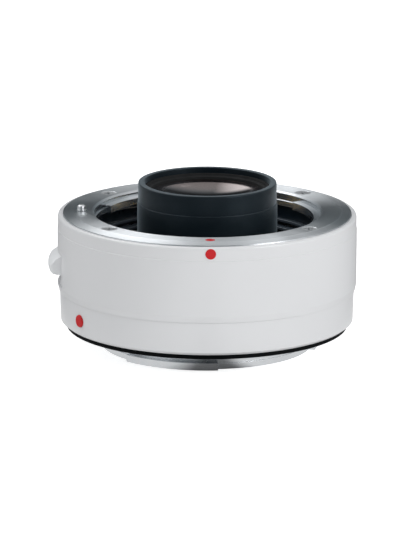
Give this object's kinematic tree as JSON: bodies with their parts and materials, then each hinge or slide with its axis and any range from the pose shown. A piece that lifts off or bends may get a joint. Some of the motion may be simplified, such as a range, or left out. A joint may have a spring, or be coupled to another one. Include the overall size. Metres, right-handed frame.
{
  "type": "camera teleconverter",
  "caption": "Short white camera teleconverter with a bayonet mount on each face, a black nose with a coated front glass and a release lever.",
  "frame": {"origin": "on the optical axis, in the plane of the flange that meets the camera", "axes": "+Z along the optical axis towards the lens; the index mark for the lens lies towards -Y and the release lever towards -X"},
  "size_m": [0.0738, 0.0716, 0.0396],
  "materials": {
    "white_paint": "satin off-white enamel",
    "mount_steel": "fine turned, polished",
    "screw_steel": "bright",
    "dark_steel": "plain rolled",
    "black_anodised": "satin black anodised",
    "black_plastic": "matt black",
    "black_rubber": "matt",
    "red_paint": "gloss red",
    "white_plastic": "satin off-white",
    "glass": "coated",
    "gold": "gold plated",
    "board": "solder mask",
    "flex": "polyimide film"
  },
  "bodies": {
    "housing": {"barrel_screws": "screw_steel", "bayonet_stop_pin": "screw_steel", "board_chips": "black_plastic", "board_screws": "screw_steel", "camera_index_dot": "red_paint", "camera_mount_ring": "mount_steel", "camera_mount_screws": "screw_steel", "chassis": "black_plastic", "circuit_board": "board", "contact_block_screws": "screw_steel", "flange_index_dot": "red_paint", "flex_cable": "flex", "front_band": "white_paint", "front_contact_block": "black_plastic", "front_retaining_ring": "black_anodised", "lens_barrel": "black_anodised", "lens_element_1": "glass", "lens_element_2": "glass", "lens_element_3": "glass", "lens_element_4": "glass", "lens_element_5": "glass", "lens_element_6": "glass", "lens_element_7": "glass", "lens_index_dot": "red_paint", "lens_mount_ring": "mount_steel", "lens_mount_screws": "screw_steel", "lever_springs": "dark_steel", "light_baffle": "black_anodised", "main_shell": "white_paint", "middle_retaining_ring": "black_anodised", "mount_leaf_springs": "dark_steel", "nose_cap": "black_anodised", "nose_tube": "black_anodised", "rear_band": "white_paint", "rear_contact_block": "black_plastic", "rear_contact_pads": "gold", "rear_cover": "black_plastic", "rear_retaining_ring": "black_anodised", "rear_seal": "black_rubber", "rear_spacer": "black_anodised"},
    "release": {"release_lever": "white_plastic", "slide_bracket": "dark_steel", "lock_pin": "screw_steel"},
    "contact_pin_01_body": {"contact_pin_01": "gold"},
    "contact_pin_02_body": {"contact_pin_02": "gold"},
    "contact_pin_03_body": {"contact_pin_03": "gold"},
    "contact_pin_04_body": {"contact_pin_04": "gold"},
    "contact_pin_05_body": {"contact_pin_05": "gold"},
    "contact_pin_06_body": {"contact_pin_06": "gold"},
    "contact_pin_07_body": {"contact_pin_07": "gold"},
    "contact_pin_08_body": {"contact_pin_08": "gold"},
    "contact_pin_09_body": {"contact_pin_09": "gold"},
    "contact_pin_10_body": {"contact_pin_10": "gold"},
    "contact_pin_11_body": {"contact_pin_11": "gold"}
  },
  "joints": [
    {"name": "release_slide", "type": "slide", "parent": "housing", "child": "release", "axis": [0, 0, -1], "range_m": [0, 0.002], "stiffness_N_per_m": 300, "springref_m": -0.003, "deforming": ["lever_springs"]},
    {"name": "contact_pin_01_slide", "type": "slide", "parent": "housing", "child": "contact_pin_01_body", "axis": [0, 0, -1], "range_m": [0, 0.0009], "stiffness_N_per_m": 150, "springref_m": -0.001},
    {"name": "contact_pin_02_slide", "type": "slide", "parent": "housing", "child": "contact_pin_02_body", "axis": [0, 0, -1], "range_m": [0, 0.0009], "stiffness_N_per_m": 150, "springref_m": -0.001},
    {"name": "contact_pin_03_slide", "type": "slide", "parent": "housing", "child": "contact_pin_03_body", "axis": [0, 0, -1], "range_m": [0, 0.0009], "stiffness_N_per_m": 150, "springref_m": -0.001},
    {"name": "contact_pin_04_slide", "type": "slide", "parent": "housing", "child": "contact_pin_04_body", "axis": [0, 0, -1], "range_m": [0, 0.0009], "stiffness_N_per_m": 150, "springref_m": -0.001},
    {"name": "contact_pin_05_slide", "type": "slide", "parent": "housing", "child": "contact_pin_05_body", "axis": [0, 0, -1], "range_m": [0, 0.0009], "stiffness_N_per_m": 150, "springref_m": -0.001},
    {"name": "contact_pin_06_slide", "type": "slide", "parent": "housing", "child": "contact_pin_06_body", "axis": [0, 0, -1], "range_m": [0, 0.0009], "stiffness_N_per_m": 150, "springref_m": -0.001},
    {"name": "contact_pin_07_slide", "type": "slide", "parent": "housing", "child": "contact_pin_07_body", "axis": [0, 0, -1], "range_m": [0, 0.0009], "stiffness_N_per_m": 150, "springref_m": -0.001},
    {"name": "contact_pin_08_slide", "type": "slide", "parent": "housing", "child": "contact_pin_08_body", "axis": [0, 0, -1], "range_m": [0, 0.0009], "stiffness_N_per_m": 150, "springref_m": -0.001},
    {"name": "contact_pin_09_slide", "type": "slide", "parent": "housing", "child": "contact_pin_09_body", "axis": [0, 0, -1], "range_m": [0, 0.0009], "stiffness_N_per_m": 150, "springref_m": -0.001},
    {"name": "contact_pin_10_slide", "type": "slide", "parent": "housing", "child": "contact_pin_10_body", "axis": [0, 0, -1], "range_m": [0, 0.0009], "stiffness_N_per_m": 150, "springref_m": -0.001},
    {"name": "contact_pin_11_slide", "type": "slide", "parent": "housing", "child": "contact_pin_11_body", "axis": [0, 0, -1], "range_m": [0, 0.0009], "stiffness_N_per_m": 150, "springref_m": -0.001}
  ]
}
